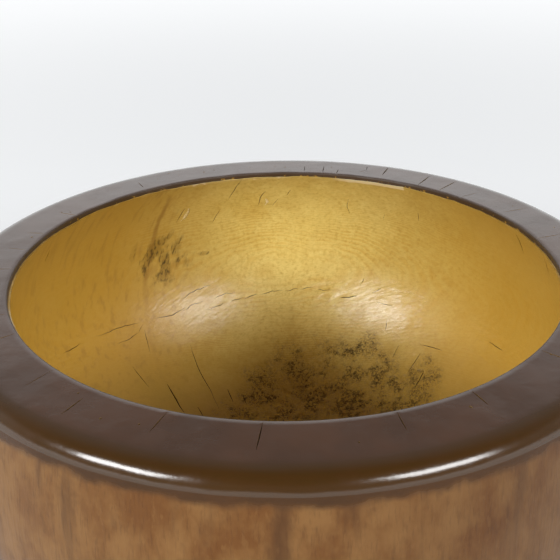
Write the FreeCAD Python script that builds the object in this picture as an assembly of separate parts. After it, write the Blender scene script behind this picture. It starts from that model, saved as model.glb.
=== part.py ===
"""Carved wooden bowl, cut from one upright length of log.

Millimetres, +Z up.  The origin is the centre of the flat base, on the surface the bowl stands on.
The bowl is one piece of wood, so there is one solid: a round wall that swells out below a thick
flat rim, over a deep rounded hollow.
"""
import FreeCAD, Part
import math
import os

from FreeCAD import Vector

# Driving dimensions.
RIM_RADIUS = 197.5              # outside of the rim, where its rounded edge meets the wall
RIM_WIDTH = 38.5                # flat top of the rim and its rounded outer edge together
RIM_EDGE_HEIGHT = 9.0           # how far down the rounding of the rim's outer edge reaches
HOLLOW_DEPTH = 191.0            # rim plane down to the lowest point of the hollow
BASE_THICKNESS = 22.0           # wood left under the hollow

BELLY_RADIUS = 203.5            # widest part of the outside
BELLY_DROP = 78.0               # how far the widest part lies below the rim plane
BELLY_ARC_RADIUS = 105.0        # roundness of the wall just below the belly
BELLY_ARC_TURN = math.radians(45.0)     # how far that arc turns before the wall straightens
BASE_RADIUS = 88.0              # foot of the wall, where the worn edge of the base begins
BASE_EDGE = 3.0                 # small bevel worn around the base

HOLLOW_RADIUS = 180.5           # widest part of the hollow
HOLLOW_ARC_RADIUS = 100.0       # roundness of the hollow's side

LIP_HEIGHT = 3.2                # short upright face just inside the mouth
LIP_STEP = 1.0                  # step from that face in to the top of the scraped wall

HEIGHT = HOLLOW_DEPTH + BASE_THICKNESS
MOUTH_RADIUS = RIM_RADIUS - RIM_WIDTH
STRAIGHT_DOWN = -math.pi / 2.0
STRAIGHT_UP = math.pi / 2.0


def point(radius, height):
    """A point of the section, in the XZ plane."""
    return Vector(radius, 0.0, height)


def on_circle(centre, radius, angle):
    """The point of a circle in the section, at an angle above the outward direction."""
    return point(centre.x + radius * math.cos(angle), centre.z + radius * math.sin(angle))


def arc(centre, radius, first_angle, last_angle):
    """An arc of that circle, as an edge."""
    middle_angle = (first_angle + last_angle) / 2.0
    ends_and_middle = [on_circle(centre, radius, angle) for angle in (first_angle, middle_angle, last_angle)]
    return Part.Arc(*ends_and_middle).toShape()


def line(start, end):
    """A straight edge."""
    return Part.LineSegment(start, end).toShape()


def lower_wall():
    """Flat base, its worn edge, and the outside of the wall up to the belly."""
    base_flat = point(BASE_RADIUS - BASE_EDGE, 0.0)
    foot = point(BASE_RADIUS, BASE_EDGE)
    belly_centre = point(BELLY_RADIUS - BELLY_ARC_RADIUS, HEIGHT - BELLY_DROP)
    join = on_circle(belly_centre, BELLY_ARC_RADIUS, -BELLY_ARC_TURN)

    # The flatter arc below leaves the belly's arc smoothly and ends at the foot.
    chord = join - foot
    inward = Vector(-math.cos(BELLY_ARC_TURN), 0.0, math.sin(BELLY_ARC_TURN))
    flat_radius = -chord.dot(chord) / (2.0 * chord.dot(inward))
    flat_centre = join + inward * flat_radius
    foot_angle = math.atan2(foot.z - flat_centre.z, foot.x - flat_centre.x)
    return [
        line(point(0.0, 0.0), base_flat),
        line(base_flat, foot),
        arc(flat_centre, flat_radius, foot_angle, -BELLY_ARC_TURN),
        arc(belly_centre, BELLY_ARC_RADIUS, -BELLY_ARC_TURN, 0.0),
    ]


def upper_wall():
    """Outside of the wall above the belly, leaning in a little, and the rim with its rounded edge."""
    rise = BELLY_DROP - RIM_EDGE_HEIGHT
    step_in = BELLY_RADIUS - RIM_RADIUS
    wall_radius = (rise ** 2 + step_in ** 2) / (2.0 * step_in)
    wall_centre = point(BELLY_RADIUS - wall_radius, HEIGHT - BELLY_DROP)
    lean = math.asin(rise / wall_radius)

    edge_radius = RIM_EDGE_HEIGHT / (1.0 - math.sin(lean))
    edge_centre = point(RIM_RADIUS - edge_radius * math.cos(lean), HEIGHT - edge_radius)
    return [
        arc(wall_centre, wall_radius, 0.0, lean),
        arc(edge_centre, edge_radius, lean, STRAIGHT_UP),
        line(point(edge_centre.x, HEIGHT), point(MOUTH_RADIUS, HEIGHT)),
    ]


def hollow():
    """The short lip inside the mouth, and the hollow that widens below it and rounds to its floor."""
    wall_top = point(MOUTH_RADIUS - LIP_STEP, HEIGHT - LIP_HEIGHT)
    side_offset = HOLLOW_RADIUS - HOLLOW_ARC_RADIUS
    top_angle = math.acos((wall_top.x - side_offset) / HOLLOW_ARC_RADIUS)
    side_centre = point(side_offset, wall_top.z - HOLLOW_ARC_RADIUS * math.sin(top_angle))

    # The floor is a wider arc about the bowl's axis that the side's arc runs into smoothly.
    drop = side_centre.z - BASE_THICKNESS
    floor_radius = (side_offset ** 2 + drop ** 2 - HOLLOW_ARC_RADIUS ** 2) / (2.0 * (drop - HOLLOW_ARC_RADIUS))
    floor_centre = point(0.0, BASE_THICKNESS + floor_radius)
    join_angle = math.atan2(side_centre.z - floor_centre.z, side_offset)
    return [
        line(point(MOUTH_RADIUS, HEIGHT), point(MOUTH_RADIUS, wall_top.z)),
        line(point(MOUTH_RADIUS, wall_top.z), wall_top),
        arc(side_centre, HOLLOW_ARC_RADIUS, top_angle, join_angle),
        arc(floor_centre, floor_radius, join_angle, STRAIGHT_DOWN),
        line(point(0.0, BASE_THICKNESS), point(0.0, 0.0)),
    ]


def bowl():
    """The whole section, turned once around the upright axis."""
    section = Part.Wire(Part.__sortEdges__(lower_wall() + upper_wall() + hollow()))
    solid = Part.Face(section).revolve(Vector(0, 0, 0), Vector(0, 0, 1), 360)
    if solid.ShapeType != "Solid" or not solid.isValid():
        raise ValueError("the bowl is not one valid solid")
    return solid


def main():
    os.makedirs("parts", exist_ok=True)
    shape = bowl()
    shape.exportStep("parts/bowl.step")
    box = shape.optimalBoundingBox()
    print("bowl", "width", round(box.XLength, 2), "height", round(box.ZLength, 2),
          "litres of wood", round(shape.Volume / 1e6, 3))


main()
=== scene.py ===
"""Carved wooden bowl, cut from one log and lacquered: its surface, finishes, stage and camera."""
import math
import random

import bpy
from bpy.props import FloatProperty, FloatVectorProperty, IntProperty, PointerProperty
from bpy.types import Operator, Panel, PropertyGroup
from mathutils import Matrix, Vector, noise


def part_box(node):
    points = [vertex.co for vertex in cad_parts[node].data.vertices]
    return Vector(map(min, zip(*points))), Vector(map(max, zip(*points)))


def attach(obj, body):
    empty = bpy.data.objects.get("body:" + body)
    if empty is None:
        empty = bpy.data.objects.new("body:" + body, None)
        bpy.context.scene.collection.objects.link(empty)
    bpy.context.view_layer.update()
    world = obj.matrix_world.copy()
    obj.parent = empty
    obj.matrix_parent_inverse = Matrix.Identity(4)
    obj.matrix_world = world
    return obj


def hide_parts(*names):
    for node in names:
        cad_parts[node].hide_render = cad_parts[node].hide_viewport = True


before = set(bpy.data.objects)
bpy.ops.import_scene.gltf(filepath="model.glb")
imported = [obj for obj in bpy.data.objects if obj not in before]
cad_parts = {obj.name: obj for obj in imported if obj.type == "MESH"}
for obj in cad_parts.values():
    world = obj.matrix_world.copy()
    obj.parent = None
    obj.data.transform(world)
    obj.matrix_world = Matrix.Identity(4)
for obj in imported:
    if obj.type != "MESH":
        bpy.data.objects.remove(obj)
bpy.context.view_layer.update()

bl_info = {
    "name": "Carved Wooden Bowl",
    "version": (1, 0, 0),
    "blender": (4, 5, 0),
    "location": "View3D > Sidebar > Bowl",
    "description": "Carves, finishes and lights a large wooden bowl",
    "category": "Object",
}

LOW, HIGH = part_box("bowl")
RIM_PLANE = HIGH.z
BELLY_RADIUS = HIGH.x
MILLIMETRE = 0.001

# Material slots of the bowl's mesh, in order.
HOLLOW, RIM, OUTSIDE, BASE, SPLIT, FRESH = range(6)

# The log's pith leans: it crosses the rim plane a little to the side and runs towards the front below.
PITH_AT_RIM = 0.0045
PITH_LEAN_X = 0.03
PITH_LEAN_Y = 0.27
RING_SPACING = 0.0011

# The pitted part of the floor: its middle, and how far it reaches each way.
PITTED_X = 0.033
PITTED_Y = 0.070
PITTED_REACH_X = 0.086
PITTED_REACH_Y = 0.076

# The dark stain that lies over it: its middle and its reach.
STAIN_X = 0.031
STAIN_Y = 0.068
STAIN_REACH = 0.084

# A small patch of the same stain stands apart to the right.
CLUSTER_X = 0.105
CLUSTER_Y = 0.092
CLUSTER_REACH_X = 0.017
CLUSTER_REACH_Y = 0.020

# Rounding of the rim's inner edge.
INNER_EDGE_ROUNDING = 0.0008

# How far the arc below the belly turns, and the sharpest edge that is shaded smooth.
BELLY_TURN = math.radians(45.0)
SMOOTH_BELOW = math.radians(38.0)


# ---------------------------------------------------------------- sizes and colours

def length(name, description, default):
    """A length in metres that a user can change."""
    return FloatProperty(name=name, description=description, default=default, min=0.0,
                         subtype="DISTANCE", unit="LENGTH")


def colour(name, description, default):
    """A finish colour."""
    return FloatVectorProperty(name=name, description=description, default=default, size=3,
                               min=0.0, max=1.0, subtype="COLOR")


class BowlSizes(PropertyGroup):
    """Sizes of the bowl's section, and how finely it is modelled."""
    rim_radius: length("Rim radius", "Outside of the rim, where its rounded edge meets the wall", 0.1975)
    rim_width: length("Rim width", "Flat top of the rim and its rounded edge", 0.0385)
    rim_edge: length("Rim edge", "Height of the rounding of the rim's outer edge", 0.009)
    hollow_depth: length("Hollow depth", "Rim plane down to the floor of the hollow", 0.191)
    hollow_radius: length("Hollow radius", "Widest part of the hollow", 0.1805)
    hollow_arc: length("Hollow side", "Radius of the arc of the hollow's side", 0.100)
    lip_height: length("Lip height", "Short upright face just inside the mouth", 0.0032)
    lip_step: length("Lip step", "Step from the lip in to the top of the scraped wall", 0.001)
    belly_drop: length("Belly drop", "Widest part of the outside, below the rim plane", 0.078)
    belly_arc: length("Belly arc", "Radius of the arc just below the belly", 0.105)
    base_radius: length("Base radius", "Foot of the wall", 0.088)
    base_edge: length("Base edge", "Worn bevel around the base", 0.003)
    segments: IntProperty(name="Segments", description="Steps around the bowl", default=352, min=48)


class BowlColours(PropertyGroup):
    """Colours of the wood and its lacquer."""
    gold: colour("Golden wood", "Scraped wood inside the hollow", (0.70, 0.51, 0.130))
    pale_gold: colour("Pale wood", "Lighter early wood between the rings", (0.80, 0.64, 0.22))
    orange: colour("Late wood", "Orange lines of the growth rings", (0.62, 0.36, 0.050))
    amber: colour("Amber wood", "Deeper sides of the hollow", (0.46, 0.250, 0.026))
    olive: colour("Floor wood", "Darkened wood on the floor of the hollow", (0.400, 0.262, 0.036))
    tarnish: colour("Tarnish", "Brown ground of the stain and of dark streaks", (0.195, 0.102, 0.012))
    stain: colour("Stain", "Dark pits and specks", (0.040, 0.019, 0.003))
    vein: colour("Vein", "Brown streak down the wall", (0.30, 0.15, 0.026))
    cream: colour("Fresh wood", "Newly cut or chipped edges", (0.88, 0.74, 0.44))
    rim: colour("Rim lacquer", "Dark lacquer on the rim", (0.046, 0.0165, 0.0042))
    rim_red: colour("Rim lacquer, worn", "Redder places in the rim's lacquer", (0.062, 0.0215, 0.0055))
    brown: colour("Outside wood", "Stained wood of the outside", (0.108, 0.039, 0.0055))
    ochre: colour("Outside, pale", "Lighter mottling of the outside", (0.182, 0.088, 0.0250))
    umber: colour("Outside, dark", "Darker streaks of the outside", (0.050, 0.018, 0.0035))
    base: colour("Base wood", "Bare end grain under the bowl", (0.26, 0.15, 0.065))


class StageSettings(PropertyGroup):
    """Floor, soft light and camera."""
    floor: colour("Floor", "Plain pale floor", (0.80, 0.81, 0.82))
    light_power: FloatProperty(name="Panel light", description="Brightness of each soft panel",
                               default=27.0, min=0.0)
    sky_power: FloatProperty(name="Room light", description="Brightness of the room around the bowl",
                             default=1.0, min=0.0)
    lens: FloatProperty(name="Lens", description="Focal length in millimetres on a 36 mm sensor",
                        default=54.06, min=10.0)


# ---------------------------------------------------------------- section of the bowl

def along_arc(centre, radius, first, last, step):
    """Points along an arc of the section, from one angle to another, without the first."""
    count = max(1, round(abs(last - first) * radius / step))
    angles = [first + (last - first) * (i + 1) / count for i in range(count)]
    return [(centre[0] + radius * math.cos(a), centre[1] + radius * math.sin(a)) for a in angles]


def along_line(start, end, step):
    """Points along a straight stretch of the section, without the first."""
    count = max(1, round(math.dist(start, end) / step))
    return [(start[0] + (end[0] - start[0]) * (i + 1) / count,
             start[1] + (end[1] - start[1]) * (i + 1) / count) for i in range(count)]


class Hollow:
    """The hollow's section: an arc for its side that runs smoothly into a wider arc for its floor."""

    def __init__(self, sizes):
        mouth = sizes.rim_radius - sizes.rim_width
        self.arc = sizes.hollow_arc
        self.offset = sizes.hollow_radius - self.arc
        self.top = (mouth - sizes.lip_step, RIM_PLANE - sizes.lip_height)
        self.top_angle = math.acos((self.top[0] - self.offset) / self.arc)
        self.height = self.top[1] - self.arc * math.sin(self.top_angle)
        self.bottom = RIM_PLANE - sizes.hollow_depth
        drop = self.height - self.bottom
        self.floor = (self.offset ** 2 + drop ** 2 - self.arc ** 2) / (2.0 * (drop - self.arc))
        self.floor_height = self.bottom + self.floor
        self.join = math.atan2(self.height - self.floor_height, self.offset)
        self.join_height = self.height + self.arc * math.sin(self.join)

    def radius_at(self, height):
        """Radius of the hollow at a height."""
        if height >= self.join_height:
            return self.offset + math.sqrt(max(0.0, self.arc ** 2 - (height - self.height) ** 2))
        return math.sqrt(max(0.0, self.floor ** 2 - (self.floor_height - height) ** 2))

    def place(self, bearing, drop):
        """The point of the hollow at a bearing in degrees and a drop below the rim, and its normal."""
        height = RIM_PLANE - drop
        radius = self.radius_at(height)
        if height >= self.join_height:
            slope = Vector((self.offset - radius, self.height - height))
        else:
            slope = Vector((-radius, self.floor_height - height))
        slope.normalize()
        turn = math.radians(bearing)
        point = Vector((radius * math.cos(turn), radius * math.sin(turn), height))
        normal = Vector((slope.x * math.cos(turn), slope.x * math.sin(turn), slope.y))
        return point, normal


def section(sizes):
    """Radius and height along the whole section, from the middle of the base round to the floor."""
    foot = (sizes.base_radius, sizes.base_edge)
    belly_height = RIM_PLANE - sizes.belly_drop
    belly_centre = (BELLY_RADIUS - sizes.belly_arc, belly_height)
    turn = BELLY_TURN
    join = Vector((belly_centre[0] + sizes.belly_arc * math.cos(turn),
                   belly_height - sizes.belly_arc * math.sin(turn)))
    chord = join - Vector(foot)
    inward = Vector((-math.cos(turn), math.sin(turn)))
    flat_radius = -chord.length_squared / (2.0 * chord.dot(inward))
    flat_centre = join + inward * flat_radius
    foot_angle = math.atan2(foot[1] - flat_centre.y, foot[0] - flat_centre.x)

    rise = sizes.belly_drop - sizes.rim_edge
    step_in = BELLY_RADIUS - sizes.rim_radius
    wall_radius = (rise ** 2 + step_in ** 2) / (2.0 * step_in)
    lean = math.asin(rise / wall_radius)
    edge_radius = sizes.rim_edge / (1.0 - math.sin(lean))
    edge_centre = (sizes.rim_radius - edge_radius * math.cos(lean), RIM_PLANE - edge_radius)

    mouth = sizes.rim_radius - sizes.rim_width
    ease = INNER_EDGE_ROUNDING
    hollow = Hollow(sizes)
    points = [(0.0, LOW.z)]
    points += along_line(points[-1], (sizes.base_radius - sizes.base_edge, LOW.z), 0.0075)
    points += along_arc((sizes.base_radius - sizes.base_edge, LOW.z + sizes.base_edge), sizes.base_edge,
                        -math.pi / 2.0, 0.0, 0.0012)
    points += along_arc(flat_centre, flat_radius, foot_angle, -turn, 0.0055)
    points += along_arc(belly_centre, sizes.belly_arc, -turn, 0.0, 0.0050)
    points += along_arc((BELLY_RADIUS - wall_radius, belly_height), wall_radius, 0.0, lean, 0.0045)
    points += along_arc(edge_centre, edge_radius, lean, math.pi / 2.0, 0.0014)
    points += along_line(points[-1], (mouth + ease, RIM_PLANE), 0.0028)
    points += along_arc((mouth + ease, RIM_PLANE - ease), ease, math.pi / 2.0, math.pi, 0.0006)
    points += along_line(points[-1], (mouth, hollow.top[1]), 0.0009)
    points += along_line(points[-1], hollow.top, 0.0005)
    side = (hollow.offset, hollow.height)
    crease_top, crease_foot = -0.29, -0.62
    points += along_arc(side, hollow.arc, hollow.top_angle, hollow.top_angle - 0.05, 0.0010)
    points += along_arc(side, hollow.arc, hollow.top_angle - 0.05, crease_top, 0.0028)
    points += along_arc(side, hollow.arc, crease_top, crease_foot, 0.0013)
    points += along_arc(side, hollow.arc, crease_foot, hollow.join, 0.0024)
    floor = (0.0, hollow.floor_height)
    points += along_arc(floor, hollow.floor, hollow.join, -1.40, 0.0030)
    points += along_arc(floor, hollow.floor, -1.40, -math.pi / 2.0, 0.0060)
    points[-1] = (0.0, hollow.bottom)
    return points


# ---------------------------------------------------------------- modelling helpers

def clear_selection():
    """Object mode with nothing selected."""
    if bpy.context.object and bpy.context.object.mode != "OBJECT":
        bpy.ops.object.mode_set(mode="OBJECT")
    bpy.ops.object.select_all(action="DESELECT")


def activate(piece):
    """Selects one object alone and makes it the active one."""
    clear_selection()
    piece.select_set(True)
    bpy.context.view_layer.objects.active = piece


def turn_section(name, points, segments):
    """A point drawn along the section by extrusion, then spun once around the bowl's axis."""
    clear_selection()
    bpy.ops.mesh.primitive_plane_add(size=MILLIMETRE, location=(0.0, 0.0, 0.0))
    piece = bpy.context.object
    piece.name = name
    bpy.ops.object.mode_set(mode="EDIT")
    bpy.ops.mesh.select_all(action="SELECT")
    bpy.ops.mesh.merge(type="CENTER")
    bpy.ops.transform.translate(value=(points[0][0], 0.0, points[0][1]))
    for start, end in zip(points, points[1:]):
        step = (end[0] - start[0], 0.0, end[1] - start[1])
        bpy.ops.mesh.extrude_region_move(TRANSFORM_OT_translate={"value": step})
    bpy.ops.mesh.select_all(action="SELECT")
    bpy.ops.mesh.spin(steps=segments, angle=2.0 * math.pi, center=(0.0, 0.0, 0.0), axis=(0.0, 0.0, 1.0))
    bpy.ops.mesh.select_all(action="SELECT")
    bpy.ops.mesh.remove_doubles(threshold=0.02 * MILLIMETRE)
    bpy.ops.mesh.normals_make_consistent(inside=False)
    bpy.ops.object.mode_set(mode="OBJECT")
    return piece


def in_stain(point):
    """How far a point of the floor lies from the middle of its pitted part: 1 at the usual edge."""
    return math.hypot((point.x - PITTED_X) / PITTED_REACH_X, (point.y - PITTED_Y) / PITTED_REACH_Y)


def refine_floor(piece, hollow):
    """More faces where the floor is pitted."""
    activate(piece)
    bpy.context.tool_settings.mesh_select_mode = (False, False, True)
    for part in (piece.data.vertices, piece.data.edges):
        part.foreach_set("select", [False] * len(part))
    for polygon in piece.data.polygons:
        centre = polygon.center
        on_floor = polygon.normal.z > 0.4 and centre.z < hollow.join_height + 0.02
        polygon.select = on_floor and in_stain(centre) < 1.05 and math.hypot(centre.x, centre.y) > 0.02
    bpy.ops.object.mode_set(mode="EDIT")
    bpy.ops.mesh.subdivide(number_cuts=1)
    bpy.ops.object.mode_set(mode="OBJECT")


def fade(value, low, high):
    """0 below low, 1 above high, and a smooth rise between."""
    t = min(1.0, max(0.0, (value - low) / (high - low)))
    return t * t * (3.0 - 2.0 * t)


def ripple(point, wavelength, stretch=(1.0, 1.0, 1.0), seed=0.0):
    """Smooth noise from about -1 to 1 at a wavelength."""
    place = Vector((point.x * stretch[0], point.y * stretch[1], point.z * stretch[2])) / wavelength
    return noise.noise(place + Vector((seed, seed * 0.7, seed * 1.3)))


def fold(point, reach, spacing, turn, seed):
    """Smooth noise drawn out into folds that cross the far wall at an angle in degrees."""
    lean = math.radians(turn)
    along = point.x * math.cos(lean) + point.z * math.sin(lean)
    across = point.z * math.cos(lean) - point.x * math.sin(lean)
    return noise.noise(Vector((along / reach + seed, point.y / reach, across / spacing)))


def hollow_offset(point, hollow):
    """How far the tools and wear moved the hollow's surface, out of the wood, in metres."""
    drop = RIM_PLANE - point.z
    swell = 0.50 * ripple(point, 0.055, seed=3.0) + 0.25 * ripple(point, 0.024, seed=9.0)
    strokes = 0.15 * ripple(point, 0.010, (1.0, 1.0, 0.35), seed=21.0)
    band = fade(drop, 0.090, 0.100) * (1.0 - fade(drop, 0.118, 0.128))
    folds = fold(point, 0.016, 0.0042, 27.0, 5.0) + 0.5 * fold(point, 0.009, 0.0026, 34.0, 8.0)
    patch = fade(ripple(point, 0.045, seed=14.0), -0.45, 0.15)
    wrinkles = -0.30 * band * patch * (1.0 - 2.2 * abs(folds))
    pits = 0.0
    if point.z < hollow.join_height + 0.02:
        spread = 1.0 - fade(in_stain(point) + 0.35 * ripple(point, 0.030, seed=2.0), 0.70, 1.05)
        grain = ripple(point, 0.0042, seed=31.0) + 0.6 * ripple(point, 0.0023, seed=33.0)
        pits = -0.70 * spread * fade(grain, 0.10, 0.55)
    return (swell + strokes + wrinkles + pits) * MILLIMETRE


def outside_offset(point):
    """How far the outside lies under its true section, where the adze and long wear took wood away."""
    facets = abs(ripple(point, 0.030, (1.0, 1.0, 0.8), seed=41.0)) * 1.1
    fine = abs(ripple(point, 0.011, seed=43.0)) * 0.25
    return -(facets + fine) * 0.55 * MILLIMETRE


def rim_offset(point):
    """Slight hollows in the flat of the rim."""
    waves = abs(ripple(point, 0.028, seed=51.0)) * 0.22 + abs(ripple(point, 0.007, seed=53.0)) * 0.05
    return -waves * MILLIMETRE


def carve_surface(piece, sizes, hollow):
    """Moves each point of the turned shape to where hand tools and wear left it."""
    mouth = sizes.rim_radius - sizes.rim_width
    around = (1.0, 1.0, 0.0)
    normals = [vertex.normal.copy() for vertex in piece.data.vertices]
    for vertex, normal in zip(piece.data.vertices, normals):
        point = vertex.co
        radius = math.hypot(point.x, point.y)
        drop = RIM_PLANE - point.z
        inside = radius < mouth + 0.0005 or (radius < sizes.hollow_radius + 0.002 and drop > 0.001
                                              and radius < hollow.radius_at(point.z) + 0.001)
        facing_in = normal.x * point.x + normal.y * point.y < 0.0005
        if inside and drop < sizes.lip_height + 0.010 and point.z > hollow.bottom + 0.05:
            outward = Vector((point.x, point.y, 0.0)).normalized()
            wander = ripple(point, 0.022, around, seed=61.0) + 0.5 * ripple(point, 0.006, around, seed=63.0)
            near_foot = 1.0 - fade(abs(drop - sizes.lip_height), 0.0008, 0.0030)
            below = fade(drop, sizes.lip_height, sizes.lip_height + 0.010)
            shift = Vector((0.0, 0.0, 0.9 * wander * MILLIMETRE * near_foot))
            shift += outward * (-0.35 * wander * MILLIMETRE * near_foot)
            shift += normal * hollow_offset(point, hollow) * below
            vertex.co = point + shift
        elif inside and point.z > hollow.bottom - 0.002 and facing_in:
            vertex.co = point + normal * hollow_offset(point, hollow)
        elif point.z > RIM_PLANE - 0.0005 and radius < sizes.rim_radius - 0.006:
            vertex.co = point + normal * rim_offset(point)
        elif point.z > LOW.z + sizes.base_edge:
            strength = fade(drop, 0.0, 0.014) * fade(point.z, LOW.z + sizes.base_edge, LOW.z + 0.012)
            vertex.co = point + normal * outside_offset(point) * strength
        else:
            flat = radius < sizes.base_radius - 0.006
            worn = fade(radius, 0.020, 0.080) * abs(ripple(point, 0.018, seed=71.0)) if flat else 0.0
            vertex.co = point + normal * (-0.30 * worn * MILLIMETRE)


def mark_faces(piece, sizes, hollow):
    """Marks every face of the turned shape with the finish of its part of the bowl."""
    mouth = sizes.rim_radius - sizes.rim_width
    for polygon in piece.data.polygons:
        centre = polygon.center
        radius = math.hypot(centre.x, centre.y)
        inward = polygon.normal.x * centre.x + polygon.normal.y * centre.y
        if centre.z > RIM_PLANE - sizes.rim_edge and radius > mouth + 0.0002 and inward > -0.5 * radius:
            polygon.material_index = RIM
        elif centre.z > hollow.top[1] + 0.0002 and radius < mouth + 0.001:
            polygon.material_index = RIM
        elif centre.z < LOW.z + 0.0015 or (polygon.normal.z < -0.9 and centre.z < 0.01):
            polygon.material_index = BASE
        elif inward < 0.0 or (polygon.normal.z > 0.5 and centre.z > hollow.bottom - 0.003):
            polygon.material_index = HOLLOW
        else:
            polygon.material_index = OUTSIDE


# ---------------------------------------------------------------- splits and nicks

class Cuts:
    """Thin wedges that stand in the wood where it has split or been nicked, all in one cutting mesh.

    They follow the curve of the hollow, which no primitive does, so their faces are given one by one.
    """

    def __init__(self):
        self.points = []
        self.faces = []
        self.slots = []

    def wedge(self, places, width, depth, skew=0.0, slot=SPLIT, stand=0.0016):
        """A three-sided wedge through (point, normal) places, widest at its middle, with sharp ends."""
        count = len(places)
        first = len(self.points)
        for index, (point, normal) in enumerate(places):
            before = places[max(0, index - 1)][0]
            after = places[min(count - 1, index + 1)][0]
            across = (after - before).cross(normal).normalized()
            swell = max(0.12, math.sin(math.pi * (index + 0.35) / (count - 0.3)) ** 0.7)
            half = 0.5 * width * swell * (1.0 + stand / depth)
            top = point + normal * stand
            self.points += [top + across * half, top - across * half,
                            point - normal * depth * swell + across * skew * half]
        for ring in range(count - 1):
            a = first + 3 * ring
            for one, two in ((0, 1), (1, 2), (2, 0)):
                self.faces.append((a + one, a + two, a + 3 + two, a + 3 + one))
                self.slots.append(slot)
        last = first + 3 * (count - 1)
        self.faces += [(first + 2, first + 1, first), (last, last + 1, last + 2)]
        self.slots += [slot, slot]

    def cut(self, piece):
        """Takes all the wedges out of the piece at once."""
        mesh = bpy.data.meshes.new("split_wedges")
        mesh.from_pydata(self.points, [], self.faces)
        for material in piece.data.materials:
            mesh.materials.append(material)
        mesh.polygons.foreach_set("material_index", self.slots)
        wedges = bpy.data.objects.new("split_wedges", mesh)
        bpy.context.collection.objects.link(wedges)
        activate(wedges)
        bpy.ops.object.mode_set(mode="EDIT")
        bpy.ops.mesh.select_all(action="SELECT")
        bpy.ops.mesh.normals_make_consistent(inside=False)
        bpy.ops.object.mode_set(mode="OBJECT")
        activate(piece)
        modifier = piece.modifiers.new("splits", "BOOLEAN")
        modifier.operation = "DIFFERENCE"
        modifier.solver = "EXACT"
        modifier.use_self = True
        modifier.object = wedges
        bpy.ops.object.modifier_apply(modifier="splits")
        bpy.data.objects.remove(wedges, do_unlink=True)


# Millimetres from the axis to the hollow's wall, near enough to turn degrees into lengths along it.
USUAL_RADIUS = 165.0

# How far splits and the crease stand open, as a share of the widths they are given.
SPLIT_OPENING = 0.72
CREASE_OPENING = 0.66


def hollow_path(hollow, stops, jitter, draw):
    """Places along a line through (bearing, drop in millimetres) stops on the hollow's surface."""
    path = []
    for (bearing_a, drop_a), (bearing_b, drop_b) in zip(stops, stops[1:]):
        reach = math.hypot(drop_b - drop_a, math.radians(bearing_b - bearing_a) * USUAL_RADIUS)
        pieces = max(2, round(reach / 3.5))
        for index in range(pieces):
            t = index / pieces
            path.append((bearing_a + (bearing_b - bearing_a) * t, drop_a + (drop_b - drop_a) * t))
    path.append(stops[-1])
    places = []
    for index, (bearing, drop) in enumerate(path):
        inner = 0 < index < len(path) - 1
        side = draw.uniform(-jitter, jitter) if inner else 0.0
        fall = draw.uniform(-jitter, jitter) if inner else 0.0
        turn = bearing + math.degrees(side * 0.8 / USUAL_RADIUS)
        places.append(hollow.place(turn, (drop + fall * 0.5) * MILLIMETRE))
    return places


def rim_path(bearing_out, bearing_in, outer, inner):
    """Places across the flat of the rim, from one radius in to another, both in millimetres."""
    places = []
    pieces = 4
    for index in range(pieces + 1):
        t = index / pieces
        radius = (outer + (inner - outer) * t) * MILLIMETRE
        turn = math.radians(bearing_out + (bearing_in - bearing_out) * t)
        point = Vector((radius * math.cos(turn), radius * math.sin(turn), RIM_PLANE))
        places.append((point, Vector((0.0, 0.0, 1.0))))
    return places


def cut_rim(cuts, draw):
    """Drying splits that run towards the pith across the rim, and worm and pore holes."""
    # bearing at the outer end, bearing at the inner end, outer radius, inner radius, width
    checks = (
        (84.2, 84.0, 175, 163, 0.5), (79.3, 79.0, 177, 161, 0.6), (75.3, 75.2, 171, 160.5, 0.6),
        (68.9, 68.3, 184, 175, 0.5), (68.4, 69.6, 175, 169, 0.4), (63.9, 63.5, 186, 169, 1.0),
        (53.1, 52.4, 184, 162, 0.9), (46.5, 46.2, 186, 162.5, 0.9), (127.2, 128.0, 178, 165, 0.5),
    )
    for bearing_out, bearing_in, outer, inner, width in checks:
        cuts.wedge(rim_path(bearing_out, bearing_in, outer, inner), width * MILLIMETRE, 0.0022,
                   stand=0.0009)
    bearing = 140.0
    while bearing < 398.0:
        bearing += draw.uniform(7.0, 21.0)
        outer = draw.uniform(172.0, 186.0)
        inner = max(161.0, outer - draw.uniform(8.0, 22.0))
        lean = draw.uniform(-0.8, 0.8)
        cuts.wedge(rim_path(bearing, bearing + lean, outer, inner),
                   draw.uniform(0.4, 0.95) * MILLIMETRE, 0.0020, stand=0.0009)
    holes = [(121.9, 177.5), (118.3, 182.5), (116.6, 175.5), (110.2, 173.8), (107.4, 175.6),
             (98.4, 175.4), (91.8, 175.2), (89.2, 172.4), (77.3, 175.3)]
    holes += [(draw.uniform(150.0, 400.0), draw.uniform(165.0, 184.0)) for _ in range(16)]
    for bearing, radius in holes:
        size = draw.uniform(0.9, 1.5)
        cuts.wedge(rim_path(bearing, bearing, radius + size * 0.6, radius - size * 0.6),
                   size * MILLIMETRE, 0.0014, stand=0.0009)


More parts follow.
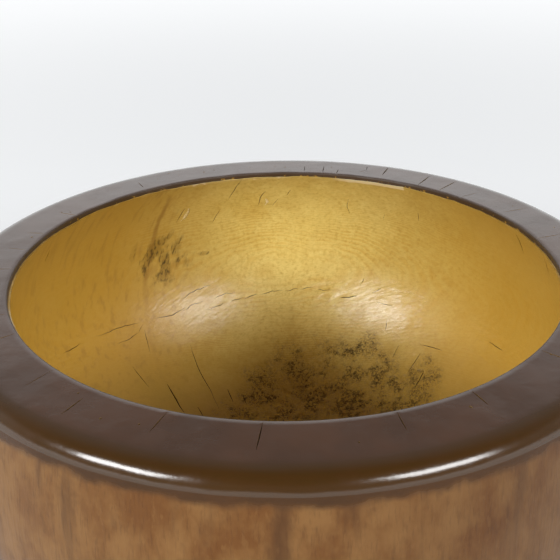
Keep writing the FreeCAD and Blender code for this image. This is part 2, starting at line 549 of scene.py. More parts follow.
def cut_hollow(cuts, hollow, draw):
    """Splits, tool nicks and the broken crease inside the hollow."""
    # Each split has stops of (bearing in degrees, drop in millimetres), then its width and depth.
    wall = (
        (((101.4, 4.2), (102.6, 13), (104.4, 24.5)), 0.75, 2.0),
        (((106.2, 32), (108.3, 44.5)), 0.55, 1.6),
        (((94.4, 17.5), (95.8, 24), (96.4, 32)), 0.8, 1.8),
        (((91.1, 26), (92.7, 33)), 0.5, 1.2),
        (((87.8, 17), (88.8, 22.5)), 0.5, 1.2),
        (((72.5, 23.5), (73.0, 32.5), (72.4, 38)), 0.5, 1.5),
        (((53.6, 26), (53.8, 34)), 0.55, 1.4),
        (((63.0, 34), (63.6, 40)), 0.35, 1.0),
    )
    floor = (
        (((119.5, 133), (120.1, 151), (119.5, 160), (119.9, 168)), 0.85, 2.6),
        (((132.8, 150.5), (134.2, 165)), 1.5, 3.4),
        (((139.6, 134.5), (139.0, 148)), 0.7, 1.8),
        (((127.8, 164.5), (128.3, 169)), 0.9, 2.0),
        (((113.0, 161.5), (112.8, 167)), 0.9, 2.0),
        (((107.7, 165), (107.4, 169)), 1.0, 2.0),
        (((131.2, 117), (132.5, 132)), 0.6, 1.6),
        (((46.4, 134), (47.2, 146)), 0.9, 2.2),
        (((53.7, 133.5), (54.0, 141.5)), 0.6, 1.5),
        (((59.5, 121), (59.2, 127)), 0.6, 1.5),
        (((47.6, 129), (43.5, 127.5), (40.3, 127)), 0.7, 1.6),
    )
    crease = (
        (((146.5, 105.5), (142.4, 107.5), (136.1, 108.5), (131.7, 111)), 0.7, 1.5),
        (((133.0, 117), (136.2, 118.5), (140.3, 118)), 0.6, 1.4),
        (((131.0, 113), (133.1, 117)), 0.5, 1.2),
        (((127.5, 112), (123.4, 113.5), (120.4, 112.5), (117.6, 110)), 0.8, 1.6),
        (((119.0, 112.5), (115.0, 109.5), (112.5, 108.5)), 0.6, 1.4),
        (((109.5, 108.5), (106.0, 106), (103.3, 106.5)), 0.7, 1.5),
        (((118.8, 104.5), (114.9, 100), (109.9, 98)), 0.9, 1.8),
        (((101.0, 112), (97.3, 109)), 0.7, 1.5),
        (((96.5, 109.8), (93.2, 107.5), (90.1, 107.4)), 0.75, 1.6),
        (((89.6, 107.8), (86.0, 105.6)), 0.7, 1.5),
        (((85.4, 106.6), (81.9, 104.2)), 0.6, 1.4),
        (((80.5, 105.6), (78.6, 106.4), (77.0, 104.8)), 0.5, 1.2),
        (((74.2, 110.8), (69.4, 107.6)), 1.0, 1.6),
        (((69.0, 99), (68.1, 93)), 0.7, 1.3),
        (((65.3, 103.5), (63.1, 98.5)), 0.7, 1.3),
        (((63.3, 109.2), (59.2, 109.4)), 0.8, 1.4),
        (((112.0, 116), (107.0, 113)), 0.7, 1.3),
        (((105.0, 112.5), (101.5, 110.5)), 0.6, 1.2),
    )
    for stops, width, depth in wall + floor:
        cuts.wedge(hollow_path(hollow, stops, 0.45, draw), SPLIT_OPENING * width * MILLIMETRE,
                   depth * MILLIMETRE)
    for stops, width, depth in crease:
        cuts.wedge(hollow_path(hollow, stops, 1.0, draw), CREASE_OPENING * width * MILLIMETRE,
                   depth * MILLIMETRE, skew=1.4)
    nicks = (
        ((115.3, 26.5), (116.4, 32), (117.5, 37.5)),
        ((95.0, 25.5), (95.2, 31.5)),
    )
    for stops in nicks:
        cuts.wedge(hollow_path(hollow, stops, 0.1, draw), 0.0028, 0.0011, skew=-1.6, slot=FRESH)
    cuts.wedge(hollow_path(hollow, ((115.9, 26.0), (118.0, 38.5)), 0.2, draw), 0.0005, 0.0014)

    # The part of the hollow behind the near rim, and its sides, are split in the same way.
    for bearing in range(158, 392, 13):
        start = draw.uniform(6.0, 40.0)
        lean = draw.uniform(0.6, 2.4)
        drop = start + draw.uniform(7.0, 20.0)
        stops = ((bearing + lean, start), (bearing + lean * 2.0, drop))
        cuts.wedge(hollow_path(hollow, stops, 0.35, draw), draw.uniform(0.45, 0.8) * MILLIMETRE, 0.0016)
    for bearing in range(160, 402, 17):
        place = bearing + draw.uniform(-5.0, 5.0)
        start = draw.uniform(126.0, 158.0)
        stops = ((place, start), (place + draw.uniform(-1.0, 1.0), start + draw.uniform(7.0, 16.0)))
        cuts.wedge(hollow_path(hollow, stops, 0.35, draw), draw.uniform(0.6, 1.3) * MILLIMETRE, 0.0020)
    bearing = 150.0
    while bearing < 385.0:
        drop = 108.0 + draw.uniform(-4.0, 4.0)
        width = draw.uniform(3.0, 7.0)
        stops = ((bearing, drop), (bearing + width, drop + draw.uniform(-3.0, 3.0)))
        cuts.wedge(hollow_path(hollow, stops, 0.9, draw), 0.0007, 0.0014, skew=1.4)
        bearing += width + draw.uniform(1.0, 9.0)


# ---------------------------------------------------------------- finishes

class Value:
    """A socket that carries a number, so that shader maths reads as plain expressions."""

    def __init__(self, finish, socket):
        self.finish = finish
        self.socket = socket

    def math(self, operation, *others):
        """A Math node on this value and others."""
        inputs = dict(enumerate((self, *others)))
        node = self.finish.node("ShaderNodeMath", {"operation": operation}, inputs)
        return Value(self.finish, node.outputs[0])

    def reflected(self, operation, other):
        """The same with the other value first."""
        node = self.finish.node("ShaderNodeMath", {"operation": operation}, {0: other, 1: self})
        return Value(self.finish, node.outputs[0])

    def __add__(self, other):
        return self.math("ADD", other)

    def __radd__(self, other):
        return self.math("ADD", other)

    def __sub__(self, other):
        return self.math("SUBTRACT", other)

    def __rsub__(self, other):
        return self.reflected("SUBTRACT", other)

    def __mul__(self, other):
        return self.math("MULTIPLY", other)

    def __rmul__(self, other):
        return self.math("MULTIPLY", other)

    def __truediv__(self, other):
        return self.math("DIVIDE", other)

    def __rtruediv__(self, other):
        return self.reflected("DIVIDE", other)

    def __abs__(self):
        return self.math("ABSOLUTE")


class Finish:
    """A procedural finish on Object coordinates, ending in one Principled shader."""

    def __init__(self, name):
        self.material = bpy.data.materials.new(name)
        self.material.use_nodes = True
        self.tree = self.material.node_tree
        self.shader = self.tree.nodes["Principled BSDF"]
        coordinates = self.node("ShaderNodeTexCoord")
        self.place = coordinates.outputs["Object"]
        parts = self.node("ShaderNodeSeparateXYZ", {}, {"Vector": self.place})
        self.x, self.y, self.z = (Value(self, parts.outputs[i]) for i in range(3))
        self.drop = RIM_PLANE - self.z

    def node(self, kind, settings=None, inputs=None):
        """One node: its settings first, then the values or links of its sockets."""
        node = self.tree.nodes.new(kind)
        for name, value in (settings or {}).items():
            setattr(node, name, value)
        for key, value in (inputs or {}).items():
            value = value.socket if isinstance(value, Value) else value
            if isinstance(value, bpy.types.NodeSocket):
                self.tree.links.new(value, node.inputs[key])
            else:
                node.inputs[key].default_value = value
        return node

    def stretched(self, scale):
        """The object's coordinates, scaled along each axis."""
        node = self.node("ShaderNodeMapping", {}, {"Vector": self.place, "Scale": scale})
        return node.outputs["Vector"]

    def noise(self, size, detail=2.0, roughness=0.5, stretch=None):
        """Noise from 0 to 1 whose features are about size metres across."""
        vector = self.stretched(stretch) if stretch else self.place
        node = self.node("ShaderNodeTexNoise", {"normalize": True},
                         {"Vector": vector, "Scale": 1.0 / size, "Detail": detail,
                          "Roughness": roughness})
        return Value(self, node.outputs["Fac"])

    def rise(self, value, low, high):
        """0 below low, 1 above high, and a smooth rise between."""
        node = self.node("ShaderNodeMapRange", {"interpolation_type": "SMOOTHSTEP", "clamp": True},
                         {"Value": value, "From Min": low, "From Max": high})
        return Value(self, node.outputs["Result"])

    def mix(self, factor, first, second):
        """A colour between two others."""
        node = self.node("ShaderNodeMix", {"data_type": "RGBA"})
        for index, value in ((0, factor), (6, first), (7, second)):
            value = value.socket if isinstance(value, Value) else value
            if isinstance(value, bpy.types.NodeSocket):
                self.tree.links.new(value, node.inputs[index])
            else:
                node.inputs[index].default_value = value
        return node.outputs[2]

    def bearing(self):
        """Angle around the bowl in degrees, from +X towards +Y."""
        return self.y.math("ARCTAN2", self.x) * math.degrees(1.0)

    def growth(self, spacing):
        """Distance from the log's leaning pith, counted in growth rings that wander a little."""
        across = self.x - PITH_AT_RIM - (self.z - RIM_PLANE) * PITH_LEAN_X
        along = self.y - (self.z - RIM_PLANE) * PITH_LEAN_Y
        radius = (across * across + along * along).math("SQRT")
        loose = (self.noise(0.080, 1.0) - 0.5) * 0.008
        fine = (self.noise(0.015, 2.0) - 0.5) * 0.0016
        return (radius + loose + fine) / spacing

    def strokes(self, size, turn, stretch, detail=2.0):
        """Noise drawn out into strokes that lie across the far wall, turned by an angle in degrees."""
        mapping = self.node("ShaderNodeMapping", {"vector_type": "TEXTURE"},
                            {"Vector": self.place, "Rotation": (0.0, math.radians(turn), 0.0),
                             "Scale": (1.0, 1.0, 1.0 / stretch)})
        node = self.node("ShaderNodeTexNoise", {"normalize": True},
                         {"Vector": mapping.outputs["Vector"], "Scale": 1.0 / size, "Detail": detail})
        return Value(self, node.outputs["Fac"])

    def finish(self, base, roughness, height=None, depth=0.0003):
        """Links the varying sockets; height is in units of depth metres."""
        for key, value in (("Base Color", base), ("Roughness", roughness)):
            value = value.socket if isinstance(value, Value) else value
            if isinstance(value, bpy.types.NodeSocket):
                self.tree.links.new(value, self.shader.inputs[key])
            else:
                self.shader.inputs[key].default_value = value
        if height is not None:
            bump = self.node("ShaderNodeBump", {}, {"Height": height, "Distance": depth, "Strength": 1.0})
            self.tree.links.new(bump.outputs["Normal"], self.shader.inputs["Normal"])
        return self.material


def rgba(value):
    """A colour with full alpha."""
    return (*value, 1.0)


def patch_mask(finish, bearing, drop, centre_bearing, centre_drop, half_bearing, half_drop):
    """1 in an oval area of the hollow's wall, fading out at its edge."""
    across = (bearing - centre_bearing) / half_bearing
    down = (drop - centre_drop * MILLIMETRE) / (half_drop * MILLIMETRE)
    return 1.0 - finish.rise(across * across + down * down, 0.35, 1.15)


def hollow_finish(colours):
    """Scraped golden end grain under clear lacquer, with rings, a brown vein, specks and a floor stain."""
    f = Finish("hollow_lacquered_wood")
    bearing = f.bearing()
    rings = f.growth(RING_SPACING)
    wave = (rings * math.tau).math("SINE") * 0.5 + 0.5
    hair = (rings * math.tau * 2.07).math("SINE") * 0.5 + 0.5
    strong = f.rise(f.noise(0.032, 1.0), 0.30, 0.70)
    fibre = f.noise(0.0013, 3.0, 0.6, (1.0, 1.0, 0.20))
    broad = f.noise(0.075, 2.0, 0.5)
    cloud = f.noise(0.024, 3.0, 0.6)
    grit = f.noise(0.0030, 2.0, 0.6)

    tone = f.mix(f.rise(broad, 0.28, 0.72) * 0.5, rgba(colours.gold), rgba(colours.pale_gold))
    broken = f.rise(f.noise(0.006, 2.0, 0.6), 0.22, 0.52)
    tone = f.mix(wave * broken * (0.14 + strong * 0.42), tone, rgba(colours.orange))
    tone = f.mix(hair * broken * 0.12, tone, rgba(colours.amber))
    tone = f.mix(f.rise(cloud, 0.42, 0.80) * 0.34, tone, rgba(colours.amber))
    tone = f.mix(f.rise(fibre, 0.50, 0.80) * 0.22, tone, rgba(colours.amber))
    tone = f.mix(f.rise(grit, 0.50, 0.72) * 0.34, tone, rgba(colours.amber))
    weave = f.rise(f.strokes(0.0032, -14.0, 3.2, 2.0), 0.46, 0.66)
    tone = f.mix(weave * 0.20, tone, rgba(colours.olive))

    # Both sides of the hollow are mixed towards amber: partly the wood's own deeper colour, partly painted
    # shade where the sides take less light than the far wall.
    left = f.rise(bearing, 96.0, 138.0)
    right = 1.0 - f.rise(bearing, 22.0, 76.0)
    tone = f.mix((left * 0.88 + right * 0.85).math("MINIMUM", 1.0), tone, rgba(colours.amber))
    brow = (1.0 - f.rise(f.drop + (cloud - 0.5) * 0.030, 0.012, 0.042)) * f.rise(cloud, 0.36, 0.66)
    tone = f.mix(brow * 0.10, tone, rgba(colours.olive))

    # Veins follow the grain down the wall, drifting to the left as they go.
    drift = bearing - (121.3 + (f.drop - 0.012) * 83.0) + (f.noise(0.022, 2.0) - 0.5) * 2.6
    fade_vein = f.rise(f.drop, 0.006, 0.020) * (1.0 - f.rise(f.drop, 0.040, 0.120) * 0.8)
    vein = (1.0 - f.rise(abs(drift), 0.15, 1.0)) * fade_vein * (0.45 + f.noise(0.012, 2.0) * 0.6)
    faint = f.rise(f.strokes(0.0050, 24.0, 0.16), 0.50, 0.72)
    left_wall = f.rise(bearing, 112.0, 124.0) * (1.0 - f.rise(bearing, 150.0, 185.0))
    tone = f.mix(faint * (0.06 + left_wall * 0.34), tone, rgba(colours.vein))
    tone = f.mix(vein * 0.85, tone, rgba(colours.vein))

    # Olive is mixed in further down: the wall below the crease and the floor are darker than the wall
    # above.
    low = f.rise(f.drop + (cloud - 0.5) * 0.020 + (f.noise(0.050, 2.0) - 0.5) * 0.024, 0.116, 0.172)
    deep = f.rise(f.drop, 0.128, 0.176)
    tone = f.mix(low * 0.66 + deep * 0.26, tone, rgba(colours.olive))

    # Specks and smears on the left of the wall, drawn out along the grain.
    speck = f.rise(f.strokes(0.0019, 28.0, 0.30, 3.0), 0.44, 0.64)
    smear = f.rise(f.strokes(0.0085, 28.0, 0.42, 3.0), 0.44, 0.62)
    area = patch_mask(f, bearing, f.drop, 122.5, 67.0, 9.5, 25.0)
    one = patch_mask(f, bearing, f.drop, 118.9, 62.0, 0.8, 6.5)
    two = patch_mask(f, bearing, f.drop, 122.0, 68.0, 1.3, 9.5)
    three = patch_mask(f, bearing, f.drop, 127.4, 74.0, 0.8, 6.0)
    four = patch_mask(f, bearing, f.drop, 110.8, 71.0, 1.8, 2.0)
    marks = one.math("MAXIMUM", two).math("MAXIMUM", three).math("MAXIMUM", four)
    tone = f.mix(area * smear * 0.45, tone, rgba(colours.tarnish))
    tone = f.mix(area * speck * smear * 0.70, tone, rgba(colours.stain))
    tone = f.mix(marks * 0.25, tone, rgba(colours.tarnish))
    tone = f.mix(marks * speck * 0.65, tone, rgba(colours.stain))

    # The pitted stain on the floor.
    across = (f.x - STAIN_X) / STAIN_REACH
    along = (f.y - STAIN_Y) / STAIN_REACH
    reach = (across * across + along * along).math("SQRT") + (f.noise(0.026, 3.0, 0.6) - 0.5) * 0.55
    below = f.rise(f.drop, 0.118, 0.134)
    spread = (1.0 - f.rise(reach, 0.78, 1.04)) * below
    heart = (1.0 - f.rise(reach, 0.25, 0.95)) * below
    cluster_x = (f.x - CLUSTER_X) / CLUSTER_REACH_X
    cluster_y = (f.y - CLUSTER_Y) / CLUSTER_REACH_Y
    cluster = 1.0 - f.rise(cluster_x * cluster_x + cluster_y * cluster_y, 0.3, 1.2)
    spread = spread.math("MAXIMUM", cluster * 0.8)
    patchy = f.rise(f.noise(0.014, 3.0, 0.6), 0.38, 0.58)
    pit_small = f.rise(f.noise(0.0019, 2.0, 0.7), 0.50, 0.57)
    pit_large = f.rise(f.noise(0.0042, 3.0, 0.7), 0.54, 0.58)
    pits = (pit_small * 0.80).math("MAXIMUM", pit_large) * (0.40 + patchy * 0.60)
    spread = spread * (0.45 + patchy * 0.55)
    crumbled = f.rise(f.noise(0.0014, 3.0, 0.7), 0.42, 0.60)
    tone = f.mix(spread * (0.10 + crumbled * 0.34) + heart * 0.12, tone, rgba(colours.tarnish))
    tone = f.mix(spread * pits * (0.62 + crumbled * 0.26), tone, rgba(colours.stain))

    # Pale cream along the top edge of the scraped wall, most of it in one long chip: partly fresh wood,
    # partly a painted highlight where the ledge's edge catches the light.
    uneven = (f.noise(0.009, 2.0) - 0.5) * 0.0016
    chip = f.rise(bearing, 55.7, 56.1) * (1.0 - f.rise(bearing, 71.0, 78.0))
    edge = 1.0 - f.rise(f.drop + uneven - chip * 0.0008, 0.0044, 0.0052)
    crumbs = f.rise(f.noise(0.008, 2.0), 0.54, 0.64)
    long_edge = f.rise(bearing, 84.0, 92.0) * (1.0 - f.rise(bearing, 112.0, 124.0))
    pale_wood_and_highlight = (chip * 0.95 + long_edge * (0.20 + crumbs * 0.5) + crumbs * 0.12).math("MINIMUM", 1.0)
    tone = f.mix(edge * pale_wood_and_highlight, tone, rgba(colours.cream))

    wrinkle = f.strokes(0.0085, -27.0, 4.0, 2.0)
    band = f.rise(f.drop, 0.088, 0.100) * (1.0 - f.rise(f.drop, 0.122, 0.138))
    brushed = f.strokes(0.0016, 4.0, 5.0, 2.0)
    height = (wave * 0.05 + fibre * 0.20 + cloud * 0.45 + f.noise(0.0055, 2.0) * 0.30 + brushed * 0.25
              + wrinkle * (0.16 + band * 0.80) - spread * pits * 0.9)
    roughness = 0.135 + f.noise(0.010, 2.0) * 0.10 + spread * pits * 0.35 + fibre * 0.04
    coat = (0.75 - deep * 0.40) * (1.0 - spread * (0.25 + pits * 0.75))
    f.tree.links.new(coat.socket, f.shader.inputs["Coat Weight"])
    f.shader.inputs["Specular IOR Level"].default_value = 0.28
    f.shader.inputs["Coat Roughness"].default_value = 0.46
    return f.finish(tone, roughness, height, 0.00036)


def rim_finish(colours):
    """Dark glossy lacquer over the rim, thin enough at its edges to show the wood."""
    f = Finish("rim_dark_lacquer")
    broad = f.noise(0.040, 3.0, 0.6)
    radius = (f.x * f.x + f.y * f.y).math("SQRT")
    tone = f.mix(f.rise(broad, 0.36, 0.66), rgba(colours.rim), rgba(colours.rim_red))
    # The outer rounding is mixed towards near black: partly darker lacquer, partly painted shade for the
    # dark the rounding shows from the room in front.
    outer_rounding_shade = f.rise(radius, 0.184, 0.190)
    tone = f.mix(outer_rounding_shade * 0.75, tone, rgba(colours.stain))
    rings = f.growth(RING_SPACING * 1.6)
    tone = f.mix(((rings * math.tau).math("SINE") * 0.5 + 0.5) * 0.16, tone, rgba(colours.umber))
    worn = f.rise(f.noise(0.011, 4.0, 0.65), 0.48, 0.64)
    tone = f.mix(worn * 0.22, tone, rgba(colours.umber))
    inner = 1.0 - f.rise(radius, 0.1594, 0.1602)
    chips = f.rise(f.noise(0.0050, 2.0, 0.6), 0.60, 0.66) * f.rise(f.drop, 0.0012, 0.0024)
    tone = f.mix(inner * 0.85, tone, rgba(colours.stain))
    tone = f.mix(inner * chips * 0.55, tone, rgba(colours.amber))
    dust = f.rise(f.noise(0.0021, 2.0, 0.7), 0.60, 0.72)
    tone = f.mix(dust * 0.25, tone, rgba(colours.umber))
    scratches = f.noise(0.0035, 3.0, 0.7)
    height = f.noise(0.010, 3.0) * 0.5 + scratches * 0.12 + worn * 0.08
    roughness = 0.135 + scratches * 0.07 + worn * 0.04 + inner * 0.35
    return f.finish(tone, roughness, height, 0.00016)


def outside_finish(colours):
    """Stained and polished outside: mottled brown with darker upright streaks, a painted sheen on its left
    side and painted shade on its right.
    """
    f = Finish("outside_polished_wood")
    mottle = f.noise(0.022, 4.0, 0.60, (1.0, 1.0, 0.65))
    small = f.noise(0.0065, 3.0, 0.6, (1.0, 1.0, 0.5))
    streak = f.noise(0.014, 3.0, 0.55, (1.0, 1.0, 0.08))
    fibre = f.noise(0.0012, 3.0, 0.6, (1.0, 1.0, 0.05))
    fleck = f.noise(0.0026, 2.0, 0.6, (1.0, 1.0, 0.35))
    tone = f.mix(f.rise(mottle, 0.34, 0.66), rgba(colours.brown), rgba(colours.ochre))
    # Painted sheen: the left side of the outside is mixed towards the paler ochre, standing in for the
    # light it catches from the left.
    left_painted_sheen = (1.0 - f.rise(f.x, -0.16, -0.03)) * (0.45 + f.rise(mottle, 0.36, 0.60) * 0.45)
    tone = f.mix(left_painted_sheen, tone, rgba(colours.ochre))
    tone = f.mix(f.rise(streak, 0.52, 0.72) * 0.55, tone, rgba(colours.umber))
    tone = f.mix(f.rise(small, 0.52, 0.78) * 0.35, tone, rgba(colours.umber))
    tone = f.mix(f.rise(fibre, 0.50, 0.74) * 0.32, tone, rgba(colours.umber))
    tone = f.mix(f.rise(fleck, 0.60, 0.74) * 0.30, tone, rgba(colours.ochre))
    # Painted shade: the right side of the outside is mixed towards umber, as it takes less light.
    tone = f.mix(f.rise(f.x, -0.06, 0.14) * 0.42, tone, rgba(colours.umber))
    run = abs(f.x + 0.004 + (f.noise(0.030, 2.0) - 0.5) * 0.006) + f.rise(f.y, -0.1, 0.0)
    tone = f.mix((1.0 - f.rise(run, 0.0008, 0.0055)) * 0.55, tone, rgba(colours.umber))
    # The top of the outside carries on the rim's dark lacquer, mixed towards near black like the rim's
    # outer rounding: lacquer colour, partly painted shade.
    top = 1.0 - f.rise(f.drop + (f.noise(0.012, 3.0) - 0.5) * 0.007, 0.0105, 0.0155)
    lacquer = f.mix(f.rise(f.noise(0.040, 3.0, 0.6), 0.36, 0.66), rgba(colours.rim), rgba(colours.rim_red))
    tone = f.mix(top, tone, f.mix(0.45, lacquer, rgba(colours.stain)))
    foot = 1.0 - f.rise(f.z, 0.002, 0.030)
    tone = f.mix(foot * (0.35 + small * 0.5), tone, rgba(colours.umber))
    height = fibre * 0.35 + small * 0.30 + streak * 0.35 + mottle * 0.4
    roughness = 0.36 + small * 0.12 + foot * 0.15 - top * 0.20
    f.shader.inputs["Specular IOR Level"].default_value = 0.20
    return f.finish(tone, roughness, height, 0.0003)


def base_finish(colours):
    """Bare end grain of the base, dull and dirty where it has stood."""
    f = Finish("base_bare_wood")
    rings = f.growth(RING_SPACING).math("FRACT")
    late = f.rise(rings, 0.45, 0.95)
    grime = f.noise(0.020, 4.0, 0.65)
    pores = f.noise(0.0012, 2.0, 0.6)
    tone = f.mix(late * 0.45, rgba(colours.base), rgba(colours.brown))
    tone = f.mix(f.rise(grime, 0.45, 0.75) * 0.65, tone, rgba(colours.umber))
    tone = f.mix(f.rise(pores, 0.55, 0.75) * 0.35, tone, rgba(colours.umber))
    rim_of_base = f.rise((f.x * f.x + f.y * f.y).math("SQRT"), 0.070, 0.084)
    tone = f.mix(rim_of_base * 0.5, tone, rgba(colours.umber))
    return f.finish(tone, 0.62 + grime * 0.15, late * 0.5 + pores * 0.4, 0.00025)


def split_finish(colours):
    """The inside of a split, mottled from near black to brown: painted shade in the crack."""
    f = Finish("split_shadow")
    tone = f.mix(f.noise(0.003, 2.0), rgba(colours.stain), rgba(colours.tarnish))
    return f.finish(tone, 0.55, f.noise(0.001, 2.0), 0.0001)


def fresh_finish(colours):
    """Wood laid bare in a nick, still pale and shining."""
    f = Finish("nick_pale_wood")
    fibre = f.noise(0.0010, 2.0, 0.6, (1.0, 1.0, 0.15))
    tone = f.mix(f.rise(fibre, 0.35, 0.7), rgba(colours.cream), rgba(colours.gold))
    return f.finish(tone, 0.30, fibre, 0.0002)


# ---------------------------------------------------------------- operators

class BOWL_OT_carve(Operator):
    """Turn the bowl's section, then hollow, wear and pit its surface by hand"""
    bl_idname = "bowl.carve"
    bl_label = "Carve Bowl"

    def execute(self, context):
        sizes = context.scene.bowl_sizes
        hollow = Hollow(sizes)
        piece = turn_section("carved_bowl", section(sizes), sizes.segments)
        refine_floor(piece, hollow)
        mark_faces(piece, sizes, hollow)
        carve_surface(piece, sizes, hollow)
        return {"FINISHED"}


class BOWL_OT_finish(Operator):
    """Lacquer the hollow, rim, outside and base, each with its own procedural finish"""
    bl_idname = "bowl.finish"
    bl_label = "Finish Bowl"

    def execute(self, context):
        colours = context.scene.bowl_colours
        piece = bpy.data.objects["carved_bowl"]
        for make in (hollow_finish, rim_finish, outside_finish, base_finish, split_finish, fresh_finish):
            piece.data.materials.append(make(colours))
        return {"FINISHED"}


class BOWL_OT_split(Operator):
    """Open the drying splits, pores and tool nicks in the rim and the hollow"""
    bl_idname = "bowl.split"
    bl_label = "Split Wood"

    def execute(self, context):
        sizes = context.scene.bowl_sizes
        piece = bpy.data.objects["carved_bowl"]
        draw = random.Random(7)
        cuts = Cuts()
        cut_rim(cuts, draw)
        cut_hollow(cuts, Hollow(sizes), draw)
        cuts.cut(piece)
        activate(piece)
        bpy.ops.object.shade_smooth_by_angle(angle=SMOOTH_BELOW)
        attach(piece, "root")
        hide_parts("bowl")
        return {"FINISHED"}


# The floor's radius, then both panels' angle above the rim, their distance and their height.
FLOOR_RADIUS = 40.0
PANEL_ELEVATION = math.radians(25.0)
PANEL_DISTANCE = 3.2
PANEL_HEIGHT = 0.78


def soft_panel(name, bearing, width, radiance, aim):
    """A soft rectangular light that faces the bowl from a bearing in degrees off the front."""
    turn = math.radians(bearing)
    out = math.cos(PANEL_ELEVATION)
    direction = Vector((math.sin(turn) * out, -math.cos(turn) * out, math.sin(PANEL_ELEVATION)))
    bpy.ops.object.light_add(type="AREA", location=aim + direction * PANEL_DISTANCE)
    panel = bpy.context.object
    panel.name = name
    panel.data.shape = "RECTANGLE"
    panel.data.size = width
    panel.data.size_y = PANEL_HEIGHT
    panel.data.energy = radiance * math.pi * width * PANEL_HEIGHT
    panel.rotation_euler = direction.to_track_quat("Z", "Y").to_euler()
    panel.visible_camera = False


def room_light(power):
    """A room that is bright low down behind the bowl, dim overhead and dark behind the camera."""
    world = bpy.data.worlds.new("studio_room")
    bpy.context.scene.world = world
    world.use_nodes = True
    tree = world.node_tree
    background = tree.nodes["Background"]
    coordinates = tree.nodes.new("ShaderNodeTexCoord")
    parts = tree.nodes.new("ShaderNodeSeparateXYZ")
    tree.links.new(coordinates.outputs["Generated"], parts.inputs[0])

    def ramp(source, low, high, start, end):
        node = tree.nodes.new("ShaderNodeMapRange")
        node.interpolation_type = "SMOOTHSTEP"
        for name, value in (("From Min", low), ("From Max", high), ("To Min", start), ("To Max", end)):
            node.inputs[name].default_value = value
        tree.links.new(parts.outputs[source], node.inputs["Value"])
        return node.outputs["Result"]

    def combine(kind, first, second):
        node = tree.nodes.new("ShaderNodeMath")
        node.operation = kind
        tree.links.new(first, node.inputs[0])
        tree.links.new(second, node.inputs[1])
        return node.outputs[0]

    depth = ramp("Y", -0.35, 0.70, 0.14, 1.0)
    lift = ramp("Z", 0.36, 0.60, 1.48, 0.42)
    strength = combine("MULTIPLY", depth, lift)
    path = tree.nodes.new("ShaderNodeLightPath")
    mix = tree.nodes.new("ShaderNodeMix")
    mix.data_type = "FLOAT"
    tree.links.new(path.outputs["Is Camera Ray"], mix.inputs[0])
    tree.links.new(strength, mix.inputs[2])
    mix.inputs[3].default_value = 0.86
    tree.links.new(mix.outputs[0], background.inputs["Strength"])
    background.inputs["Color"].default_value = (0.975 * power, 0.99 * power, 1.0 * power, 1.0)


def floor_finish(tint):
    """Matt pale paper that stays evenly lit away from the bowl."""
    f = Finish("pale_floor")
    grain = f.noise(0.004, 2.0)
    tone = f.mix(grain * 0.03, rgba(tint), rgba(tuple(c * 0.94 for c in tint)))
    away = f.rise((f.x * f.x + f.y * f.y).math("SQRT"), 0.25, 3.2)
    glow = f.mix(away, (0.16, 0.162, 0.165, 1.0), (0.58, 0.585, 0.59, 1.0))
    f.tree.links.new(glow, f.shader.inputs["Emission Color"])
    f.shader.inputs["Emission Strength"].default_value = 1.0
    return f.finish(tone, 0.85)


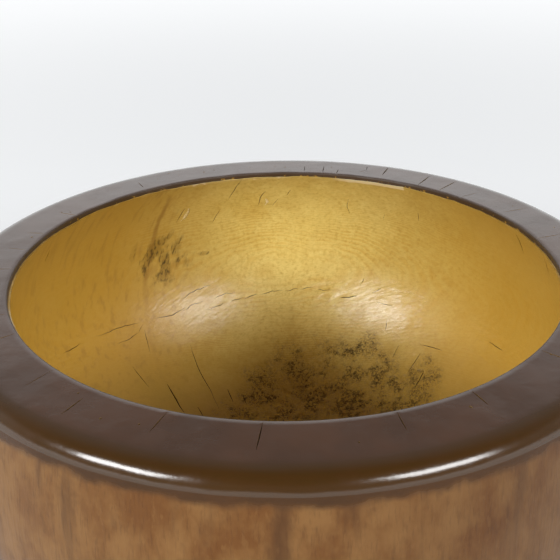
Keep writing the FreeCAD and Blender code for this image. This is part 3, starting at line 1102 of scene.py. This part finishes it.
class BOWL_OT_stage(Operator):
    """Lay the pale floor, hang two soft panels and set the camera above the rim"""
    bl_idname = "bowl.stage"
    bl_label = "Set Stage"

    def execute(self, context):
        settings = context.scene.bowl_stage
        rim_centre = Vector((0.0, 0.0, RIM_PLANE))
        clear_selection()
        bpy.ops.mesh.primitive_circle_add(vertices=96, radius=FLOOR_RADIUS, fill_type="NGON",
                                          location=(0.0, 0.0, LOW.z - 0.1 * MILLIMETRE))
        floor = context.object
        floor.name = "stage_floor"
        floor.data.materials.append(floor_finish(settings.floor))

        power = settings.light_power
        soft_panel("panel_right", 42.5, 1.45, power * 0.80, rim_centre)
        soft_panel("panel_left", -48.0, 1.40, power, rim_centre)
        room_light(settings.sky_power)

        # The camera looks down over the near rim from in front.
        pitch, yaw, roll = math.radians(26.41), math.radians(0.28), math.radians(-0.66)
        reach = math.cos(pitch)
        forward = Vector((math.sin(yaw) * reach, math.cos(yaw) * reach, -math.sin(pitch)))
        level = Vector((math.cos(yaw), -math.sin(yaw), 0.0))
        upright = level.cross(forward)
        right = level * math.cos(roll) + upright * math.sin(roll)
        up = upright * math.cos(roll) - level * math.sin(roll)
        bpy.ops.object.camera_add(location=rim_centre + Vector((-0.0056, -0.4522, 0.2122)))
        camera = context.object
        camera.name = "camera_over_rim"
        turn = Matrix((right, up, -forward)).transposed()
        camera.rotation_euler = turn.to_euler()
        camera.data.lens = settings.lens
        camera.data.sensor_width = 36.0
        camera.data.clip_start = 0.01
        camera.data.clip_end = 200.0
        camera.data.dof.use_dof = False
        context.scene.camera = camera
        context.scene.view_settings.view_transform = "Standard"
        return {"FINISHED"}


class BOWL_PT_panel(Panel):
    """The bowl's steps, in order, with its sizes and colours"""
    bl_idname = "BOWL_PT_panel"
    bl_label = "Carved Wooden Bowl"
    bl_space_type = "VIEW_3D"
    bl_region_type = "UI"
    bl_category = "Bowl"

    def draw(self, context):
        for step in STEPS:
            self.layout.operator(step.bl_idname)
        for group in (context.scene.bowl_sizes, context.scene.bowl_colours, context.scene.bowl_stage):
            column = self.layout.column(align=True)
            for name in group.__annotations__:
                column.prop(group, name)


STEPS = (BOWL_OT_carve, BOWL_OT_finish, BOWL_OT_split, BOWL_OT_stage)
CLASSES = (BowlSizes, BowlColours, StageSettings, *STEPS, BOWL_PT_panel)


def register():
    for one in CLASSES:
        bpy.utils.register_class(one)
    bpy.types.Scene.bowl_sizes = PointerProperty(type=BowlSizes)
    bpy.types.Scene.bowl_colours = PointerProperty(type=BowlColours)
    bpy.types.Scene.bowl_stage = PointerProperty(type=StageSettings)


def unregister():
    del bpy.types.Scene.bowl_stage
    del bpy.types.Scene.bowl_colours
    del bpy.types.Scene.bowl_sizes
    for one in reversed(CLASSES):
        bpy.utils.unregister_class(one)


def main():
    """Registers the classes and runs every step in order."""
    register()
    bpy.ops.bowl.carve()
    bpy.ops.bowl.finish()
    bpy.ops.bowl.split()
    bpy.ops.bowl.stage()


if __name__ == "__main__":
    main()
